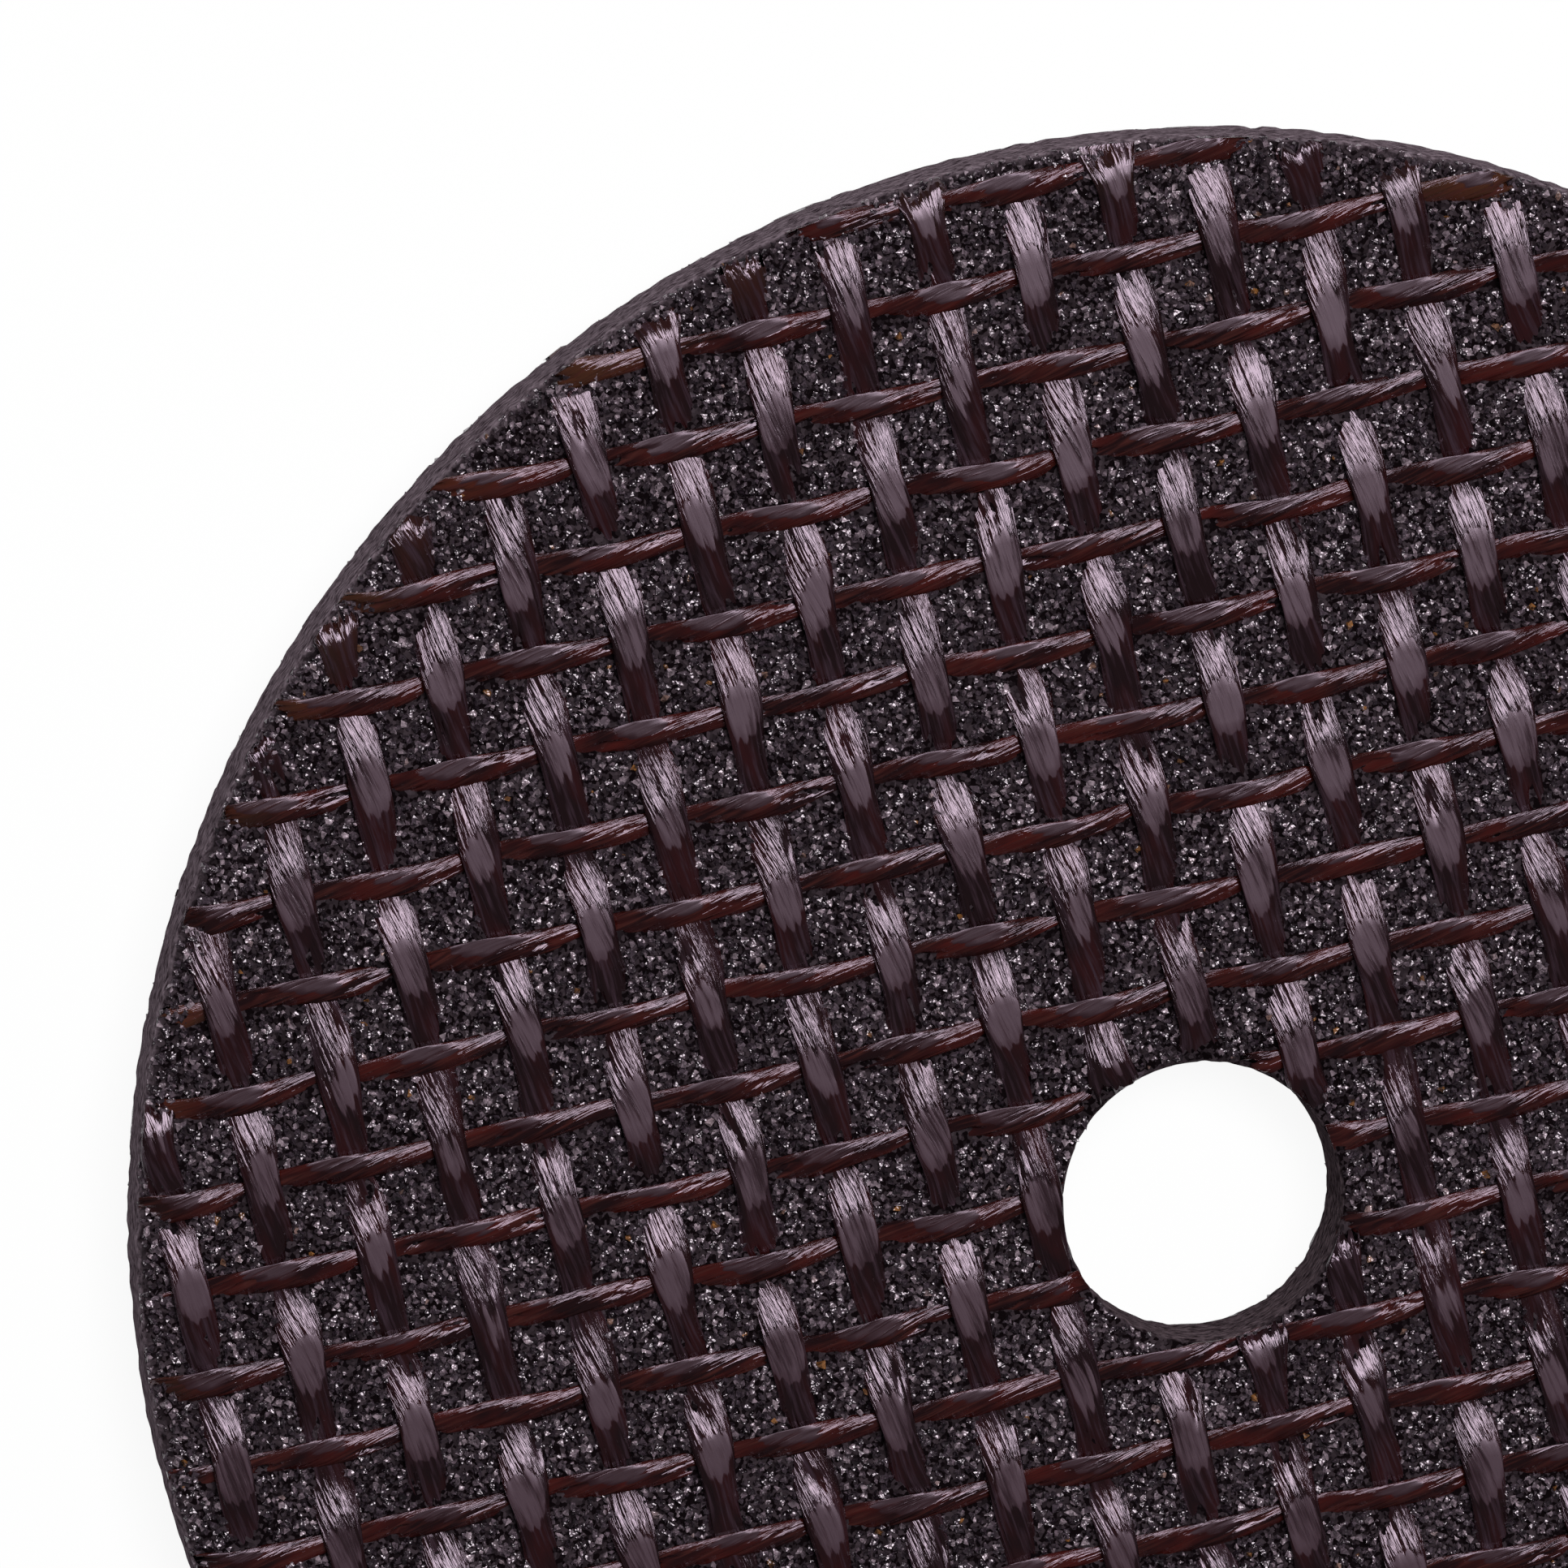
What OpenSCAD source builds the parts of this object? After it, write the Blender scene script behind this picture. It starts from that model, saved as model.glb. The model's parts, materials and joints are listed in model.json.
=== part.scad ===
// Reinforced cut-off wheel: a thin resin-bonded abrasive disc with a plain arbor hole.
// A plain-woven glass mesh is pressed into each face, and its yarns show as flattened crowns.
// Z is the wheel's axis. The wheel lies on the crowns of its back face, at Z = 0.

/* [Wheel] */
// Outside diameter of the wheel
wheel_d = 76; // [50:1:130]
// Thickness of the pressed body, between its two grit faces
body_t = 3.2; // [1.6:0.1:6.4]
// Diameter of the arbor hole
bore_d = 10; // [6:0.1:16]

/* [Glass mesh] */
// Distance from one warp yarn to the next, along the weft
warp_pitch = 3.34; // [2.8:0.02:5]
// Distance from one weft yarn to the next, along the warp
weft_pitch = 3.25; // [2.8:0.02:5]
// Direction of the warp yarns, from the X axis
warp_angle = 102.3; // [85:0.1:115]
// Direction of the weft yarns, from the X axis
weft_angle = 10.5; // [0:0.1:25]
// Width of a warp yarn
warp_w = 1.4; // [0.8:0.05:1.6]
// Width of a weft yarn
weft_w = 1.1; // [0.8:0.05:1.6]
// Height of the pressed crowns above the grit face
crown_h = 0.2; // [0.1:0.01:0.3]
// Length of the slope on which a yarn dives under its neighbour
dive_l = 0.9; // [0.4:0.05:1]
// Bare border between the mesh and the edges of the wheel
mesh_border = 0.4; // [0.2:0.1:2]
// Place of one warp crown, along X from the wheel's axis
weave_x = 0.8; // [-2:0.1:2]
// Place of the same warp crown, along Y from the wheel's axis
weave_y = 1.3; // [-2:0.1:2]

/* [Hidden] */
$fn = 180;
wheel_r = wheel_d / 2;
bore_r = bore_d / 2;
mesh_outer_r = wheel_r - mesh_border;
mesh_inner_r = bore_r + mesh_border;
// Steps of the weave, from one warp yarn to the next and from one weft yarn to the next
warp_step = warp_pitch * [cos(weft_angle), sin(weft_angle)];
weft_step = weft_pitch * [cos(warp_angle), sin(warp_angle)];
// A yarn comes up beside one crossing yarn and dives beside the next but one, a little clear of both
yarn_gap = 0.1;
warp_float_l = 2 * weft_pitch - weft_w - 2 * yarn_gap;
weft_float_l = 2 * warp_pitch - warp_w - 2 * yarn_gap;
// Yarns on each side of the middle one, enough to cover the wheel at any slant
reach = ceil(wheel_d / min(warp_pitch, weft_pitch));
// How far a yarn goes on below the grit face, along its slope
bedding_h = crown_h / 2;
// How far the tool that cuts through a piece stands out of it
cut_clear = 1;

// One yarn where it passes over a crossing yarn: a ribbon along X that rises out of the grit face at
// Z = 0, runs level where it was pressed and dives again
module yarn_float(length, width) {
    bedding_l = dive_l * bedding_h / crown_h;
    foot = length / 2 + bedding_l;
    crown = length / 2 - dive_l;
    rotate([90, 0, 0])
        linear_extrude(width, center = true)
            polygon([[-foot, -bedding_h], [foot, -bedding_h], [crown, crown_h], [-crown, crown_h]]);
}

// Every crown of the plain weave, over and under by turns in both directions
module weave() {
    for (i = [-reach : reach], j = [-reach : reach]) {
        crossing = [weave_x, weave_y] + i * warp_step + j * weft_step;
        if (norm(crossing) > mesh_inner_r && norm(crossing) < mesh_outer_r)
            translate(crossing)
                if ((i + j) % 2 == 0)
                    rotate(warp_angle) yarn_float(warp_float_l, warp_w);
                else
                    rotate(weft_angle) yarn_float(weft_float_l, weft_w);
    }
}

// The mesh of one face, trimmed to a ring
module glass_mesh() {
    trim_h = 2 * (crown_h + bedding_h);
    intersection() {
        weave();
        difference() {
            cylinder(r = mesh_outer_r, h = trim_h, center = true);
            cylinder(r = mesh_inner_r, h = trim_h + 2 * cut_clear, center = true);
        }
    }
}

// The pressed body, without its mesh
module abrasive_body() {
    difference() {
        cylinder(r = wheel_r, h = body_t);
        translate([0, 0, -cut_clear]) cylinder(r = bore_r, h = body_t + 2 * cut_clear);
    }
}

// The whole wheel, cured into one piece
module cut_off_wheel() {
    color("#3a3338") {
        translate([0, 0, crown_h]) abrasive_body();
        translate([0, 0, crown_h + body_t]) glass_mesh();
        translate([0, 0, crown_h]) mirror([0, 0, 1]) glass_mesh();
    }
}

cut_off_wheel();
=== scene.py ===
import json
import math

import bmesh
import bpy
import numpy as np
from mathutils import Matrix, Vector


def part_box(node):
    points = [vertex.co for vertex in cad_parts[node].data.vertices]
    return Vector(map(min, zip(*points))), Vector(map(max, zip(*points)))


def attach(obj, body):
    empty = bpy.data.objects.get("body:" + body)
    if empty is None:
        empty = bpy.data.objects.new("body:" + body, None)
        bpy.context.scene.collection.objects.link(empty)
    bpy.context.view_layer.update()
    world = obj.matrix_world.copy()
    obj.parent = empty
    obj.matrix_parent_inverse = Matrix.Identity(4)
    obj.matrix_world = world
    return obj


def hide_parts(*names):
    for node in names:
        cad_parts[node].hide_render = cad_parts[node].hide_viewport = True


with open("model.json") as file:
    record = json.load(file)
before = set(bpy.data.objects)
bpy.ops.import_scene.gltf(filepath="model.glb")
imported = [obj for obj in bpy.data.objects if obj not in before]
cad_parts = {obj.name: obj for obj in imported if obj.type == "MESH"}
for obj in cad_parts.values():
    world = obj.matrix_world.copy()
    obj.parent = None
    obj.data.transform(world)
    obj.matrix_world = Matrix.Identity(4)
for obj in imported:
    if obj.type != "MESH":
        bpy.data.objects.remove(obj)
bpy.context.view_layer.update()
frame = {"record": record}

# Sizes are in millimetres and meshes in metres
MM = 0.001
TAU = 2 * math.pi

# The wheel, from the frame
NODE = "cut_off_wheel"
node_low, node_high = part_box(NODE)
arbor_hole = frame["record"]["mounts"][0]["dims"]
WHEEL_R = (node_high.x - node_low.x) / 2 / MM
TOTAL_T = node_high.z / MM
BORE_R = arbor_hole["r_mm"]
BODY_T = arbor_hole["length_mm"]
CROWN_H = (TOTAL_T - BODY_T) / 2
FACE_Z = TOTAL_T - CROWN_H

# The weave of the glass mesh, as the solid has it
WARP_PITCH = 3.34
WEFT_PITCH = 3.25
WARP_ANGLE = math.radians(102.3)
WEFT_ANGLE = math.radians(10.5)
WEAVE_ORIGIN = np.array([0.8, 1.3])
WARP_STEP = WARP_PITCH * np.array([math.cos(WEFT_ANGLE), math.sin(WEFT_ANGLE)])
WEFT_STEP = WEFT_PITCH * np.array([math.cos(WARP_ANGLE), math.sin(WARP_ANGLE)])
# Its ragged ends run on past the solid's crowns, to the hole and nearly to the rim
MESH_OUTER_R = WHEEL_R - 0.2
MESH_INNER_R = BORE_R
SHORTEST_YARN_L = 2

# How a yarn lies: it rides up and down about its middle level, and is pressed level where it would
# stand above the crowns
YARN_HALF_T = 0.26
YARN_MID_Z = FACE_Z - 0.18
STRAND_W = 0.3
# Towards its end a yarn spreads and sinks, and at the very end it thins out and frays
END_SPREAD_L = 1.6
END_THIN_L = 0.8
END_FRAY_L = 0.9
# Yarns take their pattern from planes this far apart, so that no two look alike
PATTERN_STEP = 7.3

# The grit, which keeps clear of the middle line of each yarn but covers a border along the rim
GRAIN_SPACING = 0.3
BACK_GRAIN_SPACING = 0.45
WARP_CLEAR = 0.62
WEFT_CLEAR = 0.5
BORDER_W = 1.0
GRAIN_Z = FACE_Z - 0.13
GRAIN_CORNERS = 6
GRAIN_BATCH = 256


# Small helpers

def unit(angle):
    """The direction at an angle from X, in the plane of the wheel"""
    return np.array([math.cos(angle), math.sin(angle)])


def smoothstep(low, high, x):
    """Goes smoothly from 0 at low to 1 at high, and low may be the larger"""
    t =np.clip((x - low) / (high - low), 0, 1)
    return t * t * (3 - 2 * t)


def wander(rng, s, wavelength, size):
    """A smooth random curve along s, made of a few waves about one wavelength"""
    total = np.zeros_like(s)
    for share in (0.7, 1.0, 1.6):
        total = total + np.sin(TAU * (s / wavelength / share + rng.random())) / 3
    return size * total


def piece(name, mesh, material):
    """Puts a finished mesh in the scene as a piece of the wheel"""
    mesh.materials.append(material)
    obj = bpy.data.objects.new(name, mesh)
    bpy.context.scene.collection.objects.link(obj)
    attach(obj, "root")
    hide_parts(NODE)
    return obj


def linear(hex_colour):
    """An sRGB hex colour as linear RGBA"""
    parts = [int(hex_colour[i:i + 2], 16) / 255 for i in (1, 3, 5)]
    return [c / 12.92 if c <= 0.04045 else ((c + 0.055) / 1.055) ** 2.4 for c in parts] + [1.0]


def node(tree, kind, inputs=None, **settings):
    """Adds a node: settings are its properties; inputs are values or the sockets that feed it"""
    made = tree.nodes.new(kind)
    for name, value in settings.items():
        setattr(made, name, value)
    for name, value in (inputs or {}).items():
        if isinstance(value, bpy.types.NodeSocket):
            tree.links.new(value, made.inputs[name])
        else:
            made.inputs[name].default_value = value
    return made


def new_material(name):
    """A material with an empty tree, and its Principled shader"""
    material = bpy.data.materials.new(name)
    material.use_nodes = True
    tree = material.node_tree
    tree.nodes.clear()
    shader = node(tree, "ShaderNodeBsdfPrincipled")
    node(tree, "ShaderNodeOutputMaterial", {"Surface": shader.outputs["BSDF"]})
    return material, tree, shader


# Materials

def yarn_material(name, resin_hex, red_hex, strand_hex, film_hex, relief_mm, ior):
    """Glass roving soaked in phenolic resin and pressed: dark red-brown resin with glossy strands
    along it that catch the light, and a dull mauve film on the crowns that the press ironed flat"""
    material, tree, shader = new_material(name)
    lay = node(tree, "ShaderNodeAttribute", attribute_name="yarn_lay")
    press = node(tree, "ShaderNodeAttribute", attribute_name="press")
    bare = node(tree, "ShaderNodeAttribute", attribute_name="bare")
    # Single filaments are too fine to show, so the fibres are drawn as wide as thin strands
    fibre_w = 0.13
    fibre_l = 1.9
    along = node(tree, "ShaderNodeMapping", {
        "Vector": lay.outputs["Vector"], "Scale": (1 / fibre_l, 1 / fibre_w, 1)})
    fibres = node(tree, "ShaderNodeTexNoise", {
        "Vector": along.outputs["Vector"], "Scale": 1.0, "Detail": 3.0, "Roughness": 0.55})
    patch_w = 0.8
    patch_l = 2.5
    patches = node(tree, "ShaderNodeMapping", {
        "Vector": lay.outputs["Vector"], "Scale": (1 / patch_l, 1 / patch_w, 1)})
    clouds = node(tree, "ShaderNodeTexNoise", {
        "Vector": patches.outputs["Vector"], "Scale": 1.0, "Detail": 2.0})
    redness = node(tree, "ShaderNodeMapRange", {
        "Value": clouds.outputs["Fac"], "From Min": 0.42, "From Max": 0.68})
    resin = node(tree, "ShaderNodeMix", {
        "Factor": redness.outputs["Result"], "A": linear(resin_hex), "B": linear(red_hex)},
        data_type="RGBA")
    dry = node(tree, "ShaderNodeMix", {
        "Factor": bare.outputs["Fac"], "A": resin.outputs["Result"], "B": linear("#4a2c1a")},
        data_type="RGBA")
    shown = node(tree, "ShaderNodeMapRange", {
        "Value": fibres.outputs["Fac"], "From Min": 0.48, "From Max": 0.7})
    strands = node(tree, "ShaderNodeMix", {
        "Factor": shown.outputs["Result"], "A": dry.outputs["Result"], "B": linear(strand_hex)},
        data_type="RGBA")
    # The film ends along torn strands, so its edge follows them
    uneven = node(tree, "ShaderNodeMath", {
        0: fibres.outputs["Fac"], 1: clouds.outputs["Fac"]}, operation="ADD")
    torn = node(tree, "ShaderNodeMath", {
        0: uneven.outputs["Value"], 1: 0.09, 2: -0.09}, operation="MULTIPLY_ADD")
    reach = node(tree, "ShaderNodeMath", {
        0: press.outputs["Fac"], 1: torn.outputs["Value"]}, operation="ADD")
    film = node(tree, "ShaderNodeMapRange", {
        "Value": reach.outputs["Value"], "From Min": 0.0, "From Max": 0.02})
    cover = node(tree, "ShaderNodeMapRange", {
        "Value": uneven.outputs["Value"], "From Min": 0.75, "From Max": 1.05, "To Min": 0.35})
    veil = node(tree, "ShaderNodeMath", {
        0: film.outputs["Result"], 1: cover.outputs["Result"]}, operation="MULTIPLY")
    tone = node(tree, "ShaderNodeMix", {
        "Factor": veil.outputs["Value"], "A": strands.outputs["Result"], "B": linear(film_hex)},
        data_type="RGBA")
    gloss = node(tree, "ShaderNodeMapRange", {
        "Value": veil.outputs["Value"], "To Min": 0.1, "To Max": 0.36})
    relief = node(tree, "ShaderNodeMapRange", {
        "Value": veil.outputs["Value"], "To Min": 1.0, "To Max": 0.08})
    bump = node(tree, "ShaderNodeBump", {
        "Height": fibres.outputs["Fac"], "Strength": relief.outputs["Result"],
        "Distance": relief_mm * MM})
    tree.links.new(tone.outputs["Result"], shader.inputs["Base Color"])
    tree.links.new(gloss.outputs["Result"], shader.inputs["Roughness"])
    tree.links.new(bump.outputs["Normal"], shader.inputs["Normal"])
    shader.inputs["IOR"].default_value = ior
    shader.inputs["Specular Tint"].default_value = linear("#ffe6fb")
    return material


def grit_material():
    """Crushed abrasive grain, fractured: near-black facets that glint, a few of them amber"""
    material, tree, shader = new_material("crushed_abrasive_grain")
    grain = node(tree, "ShaderNodeAttribute", attribute_name="grain")
    tones = node(tree, "ShaderNodeValToRGB", {"Fac": grain.outputs["Fac"]})
    stops = [(0.0, "#170f15"), (0.5, "#3b3139"), (0.8, "#62545d"), (0.99, "#908089"),
             (0.995, "#5e3d24"), (1.0, "#7d522b")]
    ramp = tones.color_ramp
    while len(ramp.elements) < len(stops):
        ramp.elements.new(0.5)
    for element, (position, tone_hex) in zip(ramp.elements, stops):
        element.position = position
        element.color = linear(tone_hex)
    place = node(tree, "ShaderNodeTexCoord")
    chip_size = 0.12
    chips = node(tree, "ShaderNodeTexVoronoi", {
        "Vector": place.outputs["Object"], "Scale": 1 / (chip_size * MM)})
    # Each fresh break has its own gloss, and a brightness of its own that is partly the grain's
    # varied tone and partly painted light: the bright breaks are painted glints and the dark ones
    # painted shade
    each = node(tree, "ShaderNodeSeparateColor", {"Color": chips.outputs["Color"]})
    shade = node(tree, "ShaderNodeMapRange", {
        "Value": each.outputs["Red"], "To Min": 0.25, "To Max": 1.5})
    mottled_with_painted_glints = node(tree, "ShaderNodeVectorMath", {
        0: tones.outputs["Color"], "Scale": shade.outputs["Result"]}, operation="SCALE")
    gloss = node(tree, "ShaderNodeMapRange", {
        "Value": each.outputs["Green"], "To Min": 0.08, "To Max": 0.32})
    bump = node(tree, "ShaderNodeBump", {
        "Height": chips.outputs["Distance"], "Strength": 0.6, "Distance": 0.06 * MM})
    tree.links.new(mottled_with_painted_glints.outputs["Vector"], shader.inputs["Base Color"])
    tree.links.new(gloss.outputs["Result"], shader.inputs["Roughness"])
    tree.links.new(bump.outputs["Normal"], shader.inputs["Normal"])
    shader.inputs["IOR"].default_value = 1.9
    shader.inputs["Specular Tint"].default_value = linear("#fff2fb")
    return material


def bond_material():
    """Cured phenolic bond filled with fine grit: black-brown and pitted under the grains, dusty
    grey-mauve on the dressed rim and dark and crumbled in the drilled hole"""
    material, tree, shader = new_material("phenolic_bond")
    rim = node(tree, "ShaderNodeAttribute", attribute_name="rim")
    hole = node(tree, "ShaderNodeAttribute", attribute_name="hole")
    place = node(tree, "ShaderNodeTexCoord")
    pit_size = 0.16
    # The fillings lie flat, in layers
    layers = node(tree, "ShaderNodeMapping", {
        "Vector": place.outputs["Object"], "Scale": (0.5, 0.5, 1.3)})
    pits = node(tree, "ShaderNodeTexNoise", {
        "Vector": layers.outputs["Vector"], "Scale": 1 / (pit_size * MM), "Detail": 4.0,
        "Roughness": 0.6})
    # The finest grit shows in it as specks
    speck_size = 0.13
    specks = node(tree, "ShaderNodeTexVoronoi", {
        "Vector": place.outputs["Object"], "Scale": 1 / (speck_size * MM)})
    each = node(tree, "ShaderNodeSeparateColor", {"Color": specks.outputs["Color"]})
    pale = node(tree, "ShaderNodeMapRange", {"Value": each.outputs["Red"], "From Min": 0.35})
    face = node(tree, "ShaderNodeMix", {
        "Factor": pale.outputs["Result"], "A": linear("#0d080a"), "B": linear("#3b3237")},
        data_type="RGBA")
    spots = node(tree, "ShaderNodeMapRange", {
        "Value": pits.outputs["Fac"], "From Min": 0.35, "From Max": 0.65})
    dust = node(tree, "ShaderNodeMix", {
        "Factor": spots.outputs["Result"], "A": linear("#2b2126"), "B": linear("#80717a")},
        data_type="RGBA")
    outside = node(tree, "ShaderNodeMix", {
        "Factor": rim.outputs["Fac"], "A": face.outputs["Result"], "B": dust.outputs["Result"]},
        data_type="RGBA")
    wall = node(tree, "ShaderNodeMix", {
        "Factor": spots.outputs["Result"], "A": linear("#181114"), "B": linear("#62545a")},
        data_type="RGBA")
    tone = node(tree, "ShaderNodeMix", {
        "Factor": hole.outputs["Fac"], "A": outside.outputs["Result"], "B": wall.outputs["Result"]},
        data_type="RGBA")
    bump = node(tree, "ShaderNodeBump", {
        "Height": pits.outputs["Fac"], "Strength": 0.7, "Distance": 0.1 * MM})
    tree.links.new(tone.outputs["Result"], shader.inputs["Base Color"])
    tree.links.new(bump.outputs["Normal"], shader.inputs["Normal"])
    shader.inputs["Roughness"].default_value = 0.8
    shader.inputs["Specular IOR Level"].default_value = 0.0
    return material


# The glass mesh

def yarn_points(rng, number, first, last, run, ring_step, top_sides):
    """The surface of one yarn, ring by ring, as distances along it, to its left and up. Crowns lie
    at even counts of pitches. With the points go the place of each on its strands and how far
    above the press it would lie, in mm."""
    shape = run["shape"]
    low_sides = 4
    rings = max(int((last - first) / ring_step), 4)
    s = np.linspace(first, last, rings)[:, None]
    turn = np.concatenate([
        np.linspace(0, math.pi, top_sides, endpoint=False),
        np.linspace(math.pi, TAU, low_sides, endpoint=False)])[None, :]
    count = math.pi * (s / run["pitch"] + number + run["shift"])
    rise = np.cos(count)
    swing = np.sin(count)
    from_end = np.minimum(s - first, last - s)
    width = shape["width"] + shape["skew"] * swing + shape["flare"] * (1 - rise) / 2
    spread = 1 + 0.3 * smoothstep(END_SPREAD_L, 0, from_end)
    width = width * (1 + wander(rng, s, 5.0, 0.12)) * spread
    # Across the section: rounded above, flat below
    left = np.cos(turn)
    up = np.sign(np.sin(turn)) * np.abs(np.sin(turn)) ** shape["round"]
    thick = np.where(up > 0, YARN_HALF_T, 0.7 * YARN_HALF_T)
    # Strands: rounded ridges with narrow grooves, slanted by the twist
    arc = turn / math.pi * 2.4 * shape["width"]
    lay = arc + math.tan(shape["twist"]) * s + wander(rng, s, 9.0, 0.12) + rng.random()
    ridge = np.abs(np.sin(math.pi * lay / STRAND_W))
    # Here and there the strands of a yarn stand apart where it comes up
    split = smoothstep(0.2, 0.7, wander(rng, s, 3.1, 1.0) + 0.1) * smoothstep(0.75, 0.2, rise)
    split_at = math.pi * (rng.uniform(0.3, 0.7) + wander(rng, s, 4.3, 0.3))
    gap = split * np.exp(-((turn - split_at) / 0.17) ** 2)
    dent = (0.05 * (ridge - 1) - 0.3 * gap) * np.clip(up, 0, 1)
    # An end lies thin and ragged on the bond
    thin = 0.25 + 0.75 * smoothstep(0, END_THIN_L, from_end)
    height = (thick * up + dent) * thin
    side = width * left * (1 + 0.05 * (ridge - 1))
    ragged = rng.uniform(-0.5, 0.2, turn.shape) * smoothstep(END_FRAY_L, 0, from_end)
    ragged = np.where(s - first < last - s, -ragged, ragged)
    lean = shape["lean"] + shape["roll"] * swing + wander(rng, s, 7.0, math.radians(7))
    lift = shape["lift"] + (1 - shape["lift"]) * rise
    middle = YARN_MID_Z + shape["crimp"] * lift + wander(rng, s, 5.5, 0.09) - shape["low"]
    sink_first, sink_last = rng.uniform(0, 0.2, 2)
    middle = middle - sink_first * smoothstep(END_SPREAD_L, 0, s - first)
    middle = middle - sink_last * smoothstep(END_SPREAD_L, 0, last - s)
    x = s + ragged + 0 * turn
    y = wander(rng, s, 11.0, 0.1) + side * np.cos(lean) + height * np.sin(lean)
    z = middle + height * np.cos(lean) - side * np.sin(lean)
    # Each yarn is pressed to a level of its own, just under the top of the wheel
    crown = TOTAL_T - 0.004 - 0.012 * rng.random()
    strand = np.stack([x, lay + 0 * x, np.full_like(x, PATTERN_STEP * number)], axis=-1)
    return np.stack([x, y, np.minimum(z, crown)], axis=-1), strand, z - crown


def yarn_tube(points, strand, press, bare):
    """One closed yarn: a capped tube cut into rings and laid on its points"""
    rings, sides = points.shape[:2]
    bm = bmesh.new()
    bmesh.ops.create_cone(bm, cap_ends=True, segments=sides, radius1=1, radius2=1, depth=rings - 1)
    long_edges = [e for e in bm.edges if abs(e.verts[0].co.z - e.verts[1].co.z) > 0.5]
    bmesh.ops.subdivide_edges(bm, edges=long_edges, cuts=rings - 2)
    strand_layer = bm.verts.layers.float_vector.new("yarn_lay")
    press_layer = bm.verts.layers.float.new("press")
    bare_layer = bm.verts.layers.float.new("bare")
    # A vertex finds its ring by its height on the tube and its side by its angle
    for v in bm.verts:
        ring = round(v.co.z + (rings - 1) / 2)
        side = math.floor(math.atan2(v.co.y, v.co.x) / TAU * sides + 0.25) % sides
        v.co = points[ring, side]
        v[strand_layer] = strand[ring, side]
        v[press_layer] = press[ring, side]
        v[bare_layer] = bare[ring, side]
    bmesh.ops.recalc_face_normals(bm, faces=bm.faces)
    for face in bm.faces:
        face.smooth = True
    return bm


def spans(origin, heading):
    """The stretches of a line through origin that lie on the mesh ring, as distances along it"""
    foot = -float(origin @ heading)
    off = float(np.hypot(*(origin + foot * heading)))
    if off >= MESH_OUTER_R:
        return []
    outer = math.sqrt(MESH_OUTER_R ** 2 - off ** 2)
    if off >= MESH_INNER_R:
        return [(foot - outer, foot + outer)]
    inner = math.sqrt(MESH_INNER_R ** 2 - off ** 2)
    return [(foot - outer, foot - inner), (foot + inner, foot + outer)]


def mesh_yarns(name, material, seed, run, ring_step, top_sides, back=False):
    """All yarns of one direction in one face's mesh, as one piece"""
    rng = np.random.default_rng(seed)
    bm = bmesh.new()
    mesh = bpy.data.meshes.new(name)
    heading = run["heading"]
    left = np.array([-heading[1], heading[0]])
    reach = math.ceil(2 * WHEEL_R / WEFT_PITCH)
    for number in range(-reach, reach + 1):
        origin = WEAVE_ORIGIN + number * run["step"]
        for first, last in spans(origin, heading):
            if last - first < SHORTEST_YARN_L:
                continue
            points, *details = yarn_points(rng, number, first, last, run, ring_step, top_sides)
            flat = origin + points[..., :1] * heading + points[..., 1:2] * left
            # Trimmed flush with the hole and short of the rim
            radius = np.linalg.norm(flat, axis=-1, keepdims=True)
            flat = flat * np.clip(radius, BORE_R + 0.05, WHEEL_R - 0.12) / radius
            # Some yarns are short of resin along the rim
            near_rim = smoothstep(WHEEL_R - 2.5, WHEEL_R - 0.6, radius[..., 0])
            bare = run["dry"] * rng.random() ** 2 * near_rim
            up = points[..., 2:]
            placed = np.concatenate([flat, TOTAL_T - up if back else up], axis=-1) * MM
            tube = yarn_tube(placed, *details, bare)
            tube.to_mesh(mesh)
            tube.free()
            bm.from_mesh(mesh)
    bm.to_mesh(mesh)
    bm.free()
    return piece(name, mesh, material)


# The grit

def grain_mesh(name, batches):
    """Many grains before they are broken: one octahedron, doubled to a batch and repeated"""
    bm = bmesh.new()
    bmesh.ops.create_uvsphere(bm, u_segments=4, v_segments=2, radius=1)
    mesh = bpy.data.meshes.new(name)
    bm.to_mesh(mesh)
    bm.free()
    bm = bmesh.new()
    bm.from_mesh(mesh)
    while len(bm.verts) < GRAIN_CORNERS * GRAIN_BATCH:
        bm.from_mesh(mesh)
        bm.to_mesh(mesh)
    for _ in range(batches - 1):
        bm.from_mesh(mesh)
    bm.to_mesh(mesh)
    bm.free()
    return mesh


def grains(name, material, rng, centres, sizes):
    """One piece of many grains, each an octahedron broken and turned at random"""
    batches = len(centres) // GRAIN_BATCH
    count = batches * GRAIN_BATCH
    chosen = rng.permutation(len(centres))[:count]
    mesh = grain_mesh(name, batches)
    shape = np.empty(3 * GRAIN_CORNERS * count)
    mesh.vertices.foreach_get("co", shape)
    shape = shape.reshape(count, GRAIN_CORNERS, 3)
    shape = shape * rng.uniform(0.55, 1.25, (count, GRAIN_CORNERS, 1))
    shape = shape + rng.normal(0, 0.16, shape.shape)
    turns, _ = np.linalg.qr(rng.normal(size=(count, 3, 3)))
    turns = turns * np.sign(np.linalg.det(turns))[:, None, None]
    shape = np.einsum("nij,nkj->nki", turns, shape) * sizes[chosen][:, None, None]
    points = (centres[chosen][:, None] + shape).reshape(-1, 3)
    # Nothing stands out of the wheel's own outline
    reach = np.hypot(points[:, 0], points[:, 1])
    points[:, :2] *= np.clip(reach, BORE_R + 0.02, WHEEL_R - 0.1)[:, None] / reach[:, None]
    points[:, 2] = np.clip(points[:, 2], 0.01, TOTAL_T - 0.01)
    mesh.vertices.foreach_set("co", (points * MM).ravel())
    tone = mesh.attributes.new("grain", "FLOAT", "POINT")
    tone.data.foreach_set("value", np.repeat(rng.random(count), GRAIN_CORNERS))
    mesh.update()
    return piece(name, mesh, material)


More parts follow.
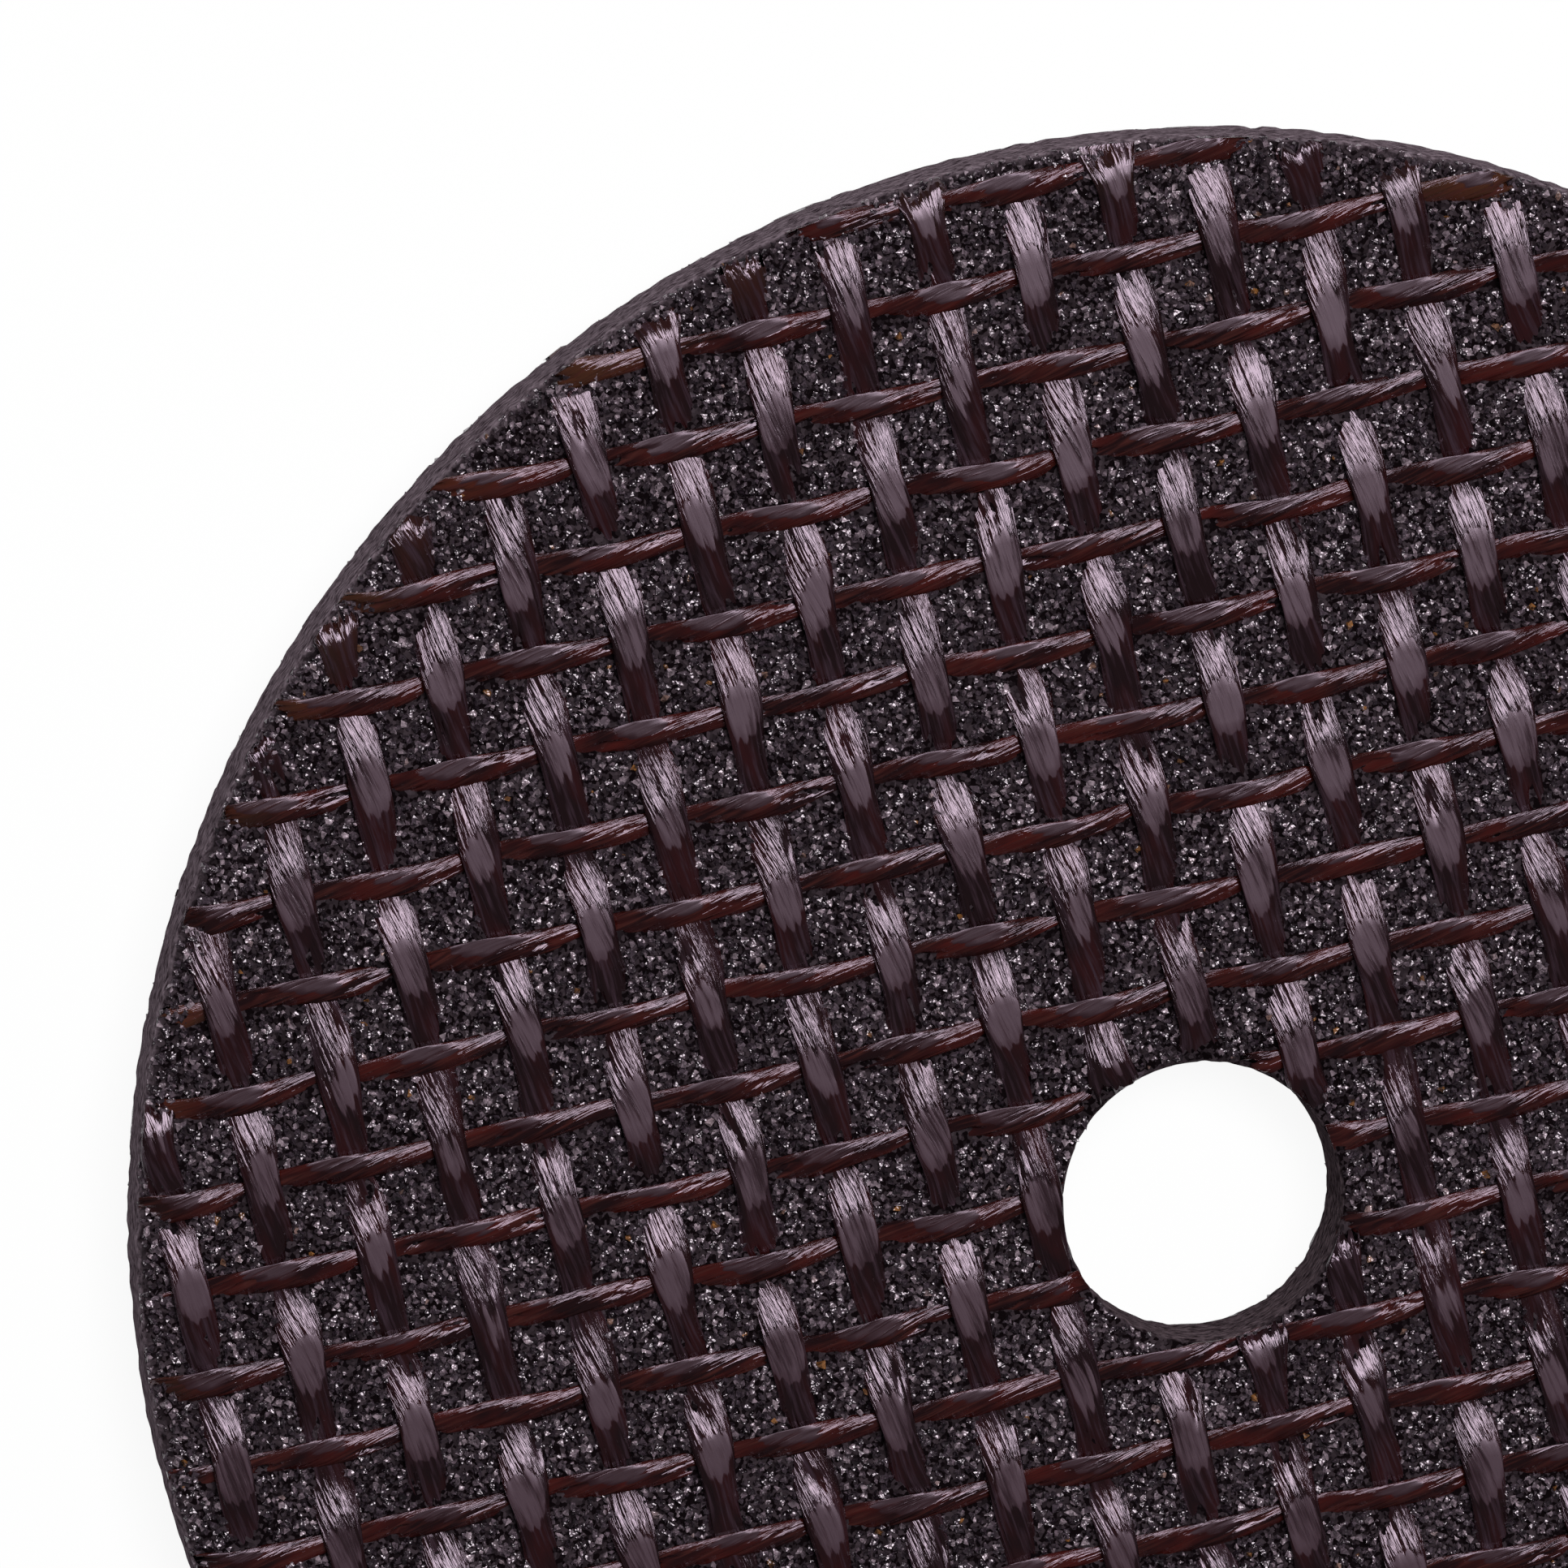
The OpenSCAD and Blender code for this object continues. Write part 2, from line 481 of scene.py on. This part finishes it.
def yarn_distance(place):
    """How far a place in the face lies from the nearest warp yarn and the nearest weft yarn"""
    across = np.linalg.solve(np.stack([WARP_STEP, WEFT_STEP], axis=1), (place - WEAVE_ORIGIN).T)
    skew = math.sin(WARP_ANGLE - WEFT_ANGLE)
    off_warp = np.abs(across[0] - np.round(across[0])) * WARP_PITCH * skew
    off_weft = np.abs(across[1] - np.round(across[1])) * WEFT_PITCH * skew
    return off_warp, off_weft


def face_grit(name, material, seed, spacing, coarse, back=False):
    """Grains in the windows of the weave and along the rim; coarse is their size by spacing"""
    rng = np.random.default_rng(seed)
    line = np.arange(-WHEEL_R, WHEEL_R, spacing)
    place = np.stack(np.meshgrid(line, line), axis=-1).reshape(-1, 2)
    place = place + rng.uniform(-0.5, 0.5, place.shape) * spacing
    reach = np.hypot(place[:, 0], place[:, 1])
    off_warp, off_weft = yarn_distance(place)
    in_window = (off_warp > WARP_CLEAR) & (off_weft > WEFT_CLEAR)
    on_border = reach > MESH_OUTER_R - BORDER_W
    on_face = (reach < WHEEL_R - 0.12) & (reach > BORE_R + 0.14)
    kept = (in_window | on_border) & on_face
    place = place[kept]
    reach = reach[kept]
    sizes = spacing * rng.uniform(*coarse, len(place))
    level = GRAIN_Z + rng.uniform(-0.09, 0.04, len(place))
    level = level - 0.12 * smoothstep(WHEEL_R - 0.5, WHEEL_R - 0.1, reach)
    up = TOTAL_T - level if back else level
    return grains(name, material, rng, np.column_stack([place, up]), sizes)


# The pressed body

def abrasive_body(material):
    """The disc under the mesh: its half section spun about the axis, with an uneven rim"""
    steps = 1080
    floor_z = FACE_Z - 0.17
    # Up the hole, out under the grit and over the rim; the lower half mirrors it
    upper = [(BORE_R, 2.0), (BORE_R, FACE_Z - 0.3), (BORE_R + 0.12, floor_z), (12, floor_z),
             (24, floor_z), (WHEEL_R - 0.5, floor_z), (WHEEL_R - 0.25, floor_z),
             (WHEEL_R - 0.14, FACE_Z - 0.24), (WHEEL_R - 0.07, FACE_Z - 0.4),
             (WHEEL_R - 0.05, FACE_Z - 0.6), (WHEEL_R - 0.05, FACE_Z - 0.9),
             (WHEEL_R - 0.05, FACE_Z - 1.2)]
    lower = [(r, TOTAL_T - z) for r, z in reversed(upper)]
    bm = bmesh.new()
    loop = [bm.verts.new((r * MM, 0, z * MM)) for r, z in upper + lower]
    for a, b in zip(loop, loop[1:] + loop[:1]):
        bm.edges.new((a, b))
    bmesh.ops.spin(
        bm, geom=bm.verts[:] + bm.edges[:], cent=(0, 0, 0), axis=(0, 0, 1), angle=TAU,
        steps=steps, use_merge=True)
    bmesh.ops.recalc_face_normals(bm, faces=bm.faces)
    rim_layer = bm.verts.layers.float.new("rim")
    hole_layer = bm.verts.layers.float.new("hole")
    rng = np.random.default_rng(31)
    # The unevenness is a sum of waves around the wheel, each with its count, phase and slant
    wave_total = 24
    counts = rng.integers(20, 300, wave_total)
    phases = rng.uniform(0, TAU, wave_total)
    slants = rng.uniform(0, 2, wave_total)
    for v in bm.verts:
        reach = math.hypot(v.co.x, v.co.y) / MM
        angle = math.atan2(v.co.y, v.co.x)
        edge = smoothstep(WHEEL_R - 0.5, WHEEL_R - 0.1, reach)
        swell = np.sin(counts * angle + phases + slants * v.co.z / MM).mean()
        hole = smoothstep(BORE_R + 0.1, BORE_R + 0.05, reach)
        chipped = np.sin(counts // 6 * angle + phases + slants * v.co.z / MM).mean()
        worn = hole * np.clip(0.12 * chipped, 0, 0.06)
        grow = 1 + (edge * np.clip(0.16 * swell, -0.1, 0.04) + worn) / reach
        v.co.x *= grow
        v.co.y *= grow
        v[rim_layer] = smoothstep(WHEEL_R - 0.3, WHEEL_R - 0.08, reach)
        v[hole_layer] = hole
    for face in bm.faces:
        face.smooth = True
    mesh = bpy.data.meshes.new("abrasive_body")
    bm.to_mesh(mesh)
    bm.free()
    return piece("abrasive_body", mesh, material)


# The scene

def studio():
    """A white floor, a large soft light from the top of the picture and an even white sky"""
    bm = bmesh.new()
    bmesh.ops.create_grid(bm, x_segments=8, y_segments=8, size=1.5)
    mesh = bpy.data.meshes.new("floor")
    bm.to_mesh(mesh)
    bm.free()
    material, tree, shader = new_material("white_paper_floor")
    shader.inputs["Base Color"].default_value = linear("#f4f4f4")
    shader.inputs["Roughness"].default_value = 0.9
    path = node(tree, "ShaderNodeLightPath")
    seen = node(tree, "ShaderNodeMath", {
        0: path.outputs["Is Camera Ray"], 1: path.outputs["Is Glossy Ray"]}, operation="MAXIMUM")
    through = node(tree, "ShaderNodeMath", {
        0: seen.outputs["Value"], 1: path.outputs["Is Transmission Ray"]}, operation="MAXIMUM")
    # Most of what is seen is plain white, and the rest is lit and keeps the shadow
    white_share = 0.92
    share = node(tree, "ShaderNodeMath", {
        0: through.outputs["Value"], 1: white_share}, operation="MULTIPLY")
    white = node(tree, "ShaderNodeEmission", {"Color": (1, 1, 1, 1), "Strength": 1.0})
    paper = node(tree, "ShaderNodeMixShader", {
        "Fac": share.outputs["Value"], 1: shader.outputs["BSDF"], 2: white.outputs["Emission"]})
    tree.links.new(paper.outputs["Shader"], tree.nodes["Material Output"].inputs["Surface"])
    mesh.materials.append(material)
    floor = bpy.data.objects.new("floor", mesh)
    bpy.context.scene.collection.objects.link(floor)

    lamp = bpy.data.lights.new("softbox", "AREA")
    lamp.shape = "RECTANGLE"
    lamp.size = 0.46
    lamp.size_y = 0.3
    lamp.energy = 4.2
    softbox = bpy.data.objects.new("softbox", lamp)
    place = Vector((0.075, 0.234, 0.546))
    aimed = place.to_track_quat("Z", "Y").to_matrix().to_4x4()
    softbox.matrix_world = Matrix.Translation(place) @ aimed
    bpy.context.scene.collection.objects.link(softbox)

    world = bpy.data.worlds.new("studio")
    world.use_nodes = True
    world.node_tree.nodes["Background"].inputs["Color"].default_value = (1, 1, 1, 1)
    world.node_tree.nodes["Background"].inputs["Strength"].default_value = 0.08
    bpy.context.scene.world = world


def photo_camera():
    """The photograph's camera, from a solve on the wheel's outline, hole and weave"""
    frame_px = 1932
    px_per_mm = 35.2
    distance = 497.0
    tilt = math.radians(13.2)
    bearing = math.radians(133.6)
    aim = Vector((-15.03, 15.39, FACE_Z))
    back = Vector((
        math.sin(tilt) * math.cos(bearing), math.sin(tilt) * math.sin(bearing), math.cos(tilt)))
    up = (Vector((0, 1, 0)) - back * back.y).normalized()
    right = up.cross(back)
    lens = bpy.data.cameras.new("camera")
    lens.sensor_width = 36
    lens.lens = lens.sensor_width * px_per_mm * distance / frame_px
    lens.clip_start = 0.01
    camera = bpy.data.objects.new("camera", lens)
    turn = Matrix((right, up, back)).transposed().to_4x4()
    camera.matrix_world = Matrix.Translation((aim + back * distance) * MM) @ turn
    bpy.context.scene.collection.objects.link(camera)
    bpy.context.scene.camera = camera


photo_camera()
studio()
bpy.context.scene.view_settings.view_transform = "Standard"

warp_glass = yarn_material(
    "resin_soaked_warp_glass", resin_hex="#140708", red_hex="#260a0b", strand_hex="#33242c",
    film_hex="#39282f", relief_mm=0.09, ior=1.68)
weft_glass = yarn_material(
    "resin_soaked_weft_glass", resin_hex="#180708", red_hex="#3d110d", strand_hex="#401d19",
    film_hex="#261317", relief_mm=0.075, ior=1.58)
grit = grit_material()
bond = bond_material()

# The two directions of the weave. A run's pitch is from one crossing yarn to the next, its shift
# puts its crowns where the other run dives, and dry is how short of resin its ends may be.
# In a shape, width is half a yarn's width, and skew and flare are what its slopes and its low places
# add to that. Lean tilts the section all along and roll on the slopes. Crimp is half the ride up and
# down, low is how far it lies below the middle level, and lift raises its low places. Twist slants
# the strands, and round is 1 for an oval section and less for a squarer one.
WARP = dict(
    heading=unit(WARP_ANGLE), step=WARP_STEP, pitch=WEFT_PITCH, shift=0, dry=0.2,
    shape=dict(
        width=0.69, skew=0.06, flare=0.06, lean=0.0, roll=math.radians(2), crimp=0.23, low=0.0,
        lift=0.06, twist=math.radians(8), round=0.85))
WEFT = dict(
    heading=unit(WEFT_ANGLE), step=WEFT_STEP, pitch=WARP_PITCH, shift=1, dry=0.9,
    shape=dict(
        width=0.57, skew=-0.06, flare=-0.04, lean=math.radians(-22), roll=math.radians(8),
        crimp=0.22, low=0.09, lift=0.25, twist=math.radians(12), round=1.0))

abrasive_body(bond)
mesh_yarns("front_warp_yarns", warp_glass, seed=1, run=WARP, ring_step=0.4, top_sides=22)
mesh_yarns("front_weft_yarns", weft_glass, seed=2, run=WEFT, ring_step=0.4, top_sides=22)
mesh_yarns("back_warp_yarns", warp_glass, seed=3, run=WARP, ring_step=0.7, top_sides=10, back=True)
mesh_yarns("back_weft_yarns", weft_glass, seed=4, run=WEFT, ring_step=0.7, top_sides=10, back=True)
face_grit("front_coarse_grit", grit, seed=5, spacing=GRAIN_SPACING, coarse=(0.46, 0.7))
face_grit("front_fine_grit", grit, seed=7, spacing=GRAIN_SPACING, coarse=(0.32, 0.5))
face_grit("back_grit", grit, seed=6, spacing=BACK_GRAIN_SPACING, coarse=(0.45, 0.8), back=True)
